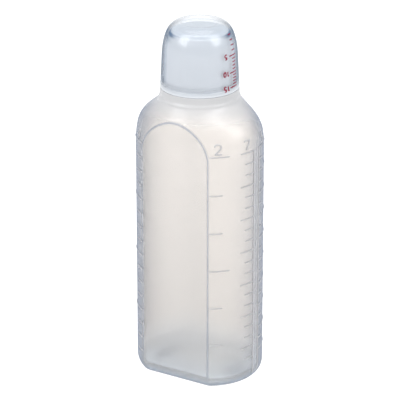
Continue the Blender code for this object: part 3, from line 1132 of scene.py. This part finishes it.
def clear_material():
    """Clear moulded plastic with faint flow marks, with painted shade where its wall is seen edge on,
    painted light on its rim band and a painted highlight on its lip.
    """
    nodes = Nodes("clear_polypropylene")
    flow = nodes.bump(nodes.noise(scale=120.0, detail=1.0), strength=0.05, distance=0.05 * MM)
    tint = nodes.ramp(nodes.noise(scale=40.0), (0.975, 0.985, 0.995), (0.985, 0.99, 1.0))
    clear = nodes.add("ShaderNodeBsdfTransparent", {"Color": tint}).outputs["BSDF"]
    gloss = nodes.add(
        "ShaderNodeBsdfAnisotropic",
        {"Color": (1.0, 1.0, 1.0, 1.0), "Roughness": 0.2, "Normal": flow},
    ).outputs["BSDF"]
    grazing = nodes.maths("POWER", edge_on(nodes), SHINE_POWER)
    shine = nodes.map_range(grazing, (0.0, 1.0), SHINE_RANGE)
    shader = mix_shaders(nodes, shine, clear, gloss)
    wall = nodes.map_range(edge_on(nodes), (0.45, 0.75), (0.0, 0.6), smooth=True)
    shoulder = nodes.map_range(edge_on(nodes), (0.3, 0.7), (0.0, 0.75), smooth=True)
    crown = nodes.map_range(edge_on(nodes), (0.3, 0.9), (0.05, 0.35), smooth=True)
    # Vertex attribute, how much of its painted colour it takes, that colour, and how much it shines:
    # painted shade on the wall, shoulder and crown, painted light on the rim and a painted highlight on
    # the lip.
    places = (
        ("wall", wall, CUP_EDGE_SHADE, 0.0),
        ("shoulder", shoulder, CUP_EDGE_SHADE, 0.0),
        ("crown", crown, CUP_CROWN_SHADE, 0.0),
        ("rim", 0.6, CUP_RIM_LIGHT, 0.8),
        ("lip", 0.27, CUP_LIP_HIGHLIGHT, 0.8),
    )
    for where, share, colour, specular in places:
        solid = solid_shader(nodes, colour, roughness=0.15, specular=specular)
        weight = nodes.maths("MULTIPLY", nodes.attribute(where), share)
        shader = mix_shaders(nodes, weight, shader, solid)
    return nodes.close(shader)


def ink_material():
    """Dark red printing ink, a little uneven."""
    nodes = Nodes("red_ink")
    colour = nodes.ramp(nodes.noise(scale=2500.0), (0.20, 0.0, 0.02), (0.26, 0.005, 0.03))
    inputs = {"Base Color": colour, "Roughness": 0.4, "Specular IOR Level": 0.0}
    return nodes.close(principled(nodes, inputs))


def foam_material():
    """White closed-cell foam."""
    nodes = Nodes("white_foam")
    cells = nodes.noise(scale=3500.0, detail=4.0)
    colour = nodes.ramp(cells, (0.80, 0.80, 0.78), (0.92, 0.92, 0.90))
    relief = nodes.bump(cells, strength=0.4, distance=0.1 * MM)
    return nodes.close(principled(nodes, {"Base Color": colour, "Roughness": 0.85, "Normal": relief}))


def floor_material():
    """A white light table."""
    nodes = Nodes("studio_floor")
    shade = nodes.ramp(nodes.noise(scale=3.0), (0.24, 0.24, 0.24), (0.26, 0.26, 0.26))
    shader = principled(
        nodes,
        {
            "Base Color": shade,
            "Roughness": 0.9,
            "Specular IOR Level": 0.0,
            "Emission Color": (1.0, 1.0, 1.0, 1.0),
            "Emission Strength": 0.95,
        },
    )
    return nodes.close(shader)


# ---------------------------------------------------------------- studio


def aim(obj, target):
    """Turns an object that looks down its own -Z towards a place."""
    obj.rotation_euler = (Vector(target) - obj.location).to_track_quat("-Z", "Y").to_euler()


def around(turn, rise, distance):
    """A place seen from the bottle's middle at a turn from the front (towards +X) and a rise."""
    toward = Vector(
        (math.sin(turn) * math.cos(rise), -math.cos(turn) * math.cos(rise), math.sin(rise))
    )
    return MIDDLE + toward * distance


def add_light(name, turn, rise, distance, width, height, power):
    """A rectangular light that faces the bottle's middle."""
    data = bpy.data.lights.new(name, "AREA")
    data.shape = "RECTANGLE"
    data.size = width
    data.size_y = height
    data.energy = power
    light = bpy.data.objects.new(name, data)
    bpy.context.scene.collection.objects.link(light)
    light.location = around(CAMERA_TURN + math.radians(turn), math.radians(rise), distance)
    aim(light, MIDDLE)


def add_camera():
    """The camera, from the photo's angle."""
    data = bpy.data.cameras.new("camera")
    data.lens = CAMERA_LENS
    data.sensor_width = SENSOR_WIDTH
    camera = bpy.data.objects.new("camera", data)
    bpy.context.scene.collection.objects.link(camera)
    camera.location = around(CAMERA_TURN, CAMERA_RISE, CAMERA_DISTANCE)
    toward = (camera.location - MIDDLE).normalized()
    right = Vector((math.cos(CAMERA_TURN), math.sin(CAMERA_TURN), 0.0))
    up = toward.cross(right)
    aim(camera, MIDDLE + right * CAMERA_AIM_RIGHT - up * CAMERA_AIM_DOWN)
    bpy.context.scene.camera = camera


def add_studio():
    """Pale sky, lights and a white table just under the bottle."""
    scene = bpy.context.scene
    scene.view_settings.view_transform = "Standard"
    scene.cycles.transparent_max_bounces = CLEAR_BOUNCES
    scene.cycles.max_bounces = LIGHT_BOUNCES
    scene.cycles.transmission_bounces = LIGHT_BOUNCES
    world = bpy.data.worlds.new("studio")
    world.use_nodes = True
    background = world.node_tree.nodes["Background"]
    background.inputs["Color"].default_value = (*SKY_COLOUR, 1.0)
    background.inputs["Strength"].default_value = SKY_STRENGTH
    scene.world = world
    for light in LIGHTS:
        add_light(*light)
    bpy.ops.mesh.primitive_circle_add(vertices=STAGE_COLUMNS, radius=STAGE_RADIUS, fill_type="NGON")
    floor = bpy.context.object
    floor.name = "floor"
    floor.location.z = -STAGE_DROP
    floor.data.materials.append(floor_material())


def paint(obj, material):
    """Gives an object its one material."""
    obj.data.materials.append(material)


def main():
    """Builds and paints every piece, then the studio."""
    round_angles = np.arange(ROUND_COLUMNS) * TAU / ROUND_COLUMNS
    bottle_plastic = milky_material(
        "milky_polyethylene",
        colour=(0.985, 0.95, 0.917),
        scatter_and_shade=(0.20, 0.235, 0.305),
        power=1.8,
        transmission=0.85,
        roughness=0.26,
        moulded_body=True,
    )
    rib_plastic = milky_material(
        "moulded_marks",
        colour=(0.57, 0.555, 0.56),
        scatter_and_shade=(0.24, 0.27, 0.33),
        power=2.0,
        transmission=0.3,
        roughness=0.3,
    )
    cap_plastic = milky_material(
        "milky_polypropylene",
        colour=(0.57, 0.59, 0.615),
        scatter_and_shade=(0.38, 0.43, 0.50),
        power=3.0,
        transmission=0.1,
        roughness=0.4,
        # The corner's dark colour is painted shade.
        corner=(0.09, 0.14, 0.22),
    )
    paint(build_bottle(), bottle_plastic)
    for scales in build_dose_scales():
        paint(scales, rib_plastic)
    paint(build_liner(round_angles), foam_material())
    paint(build_cap(round_angles), cap_plastic)
    paint(build_cup(round_angles), clear_material())
    paint(build_cup_scale(), ink_material())
    add_studio()
    add_camera()


main()
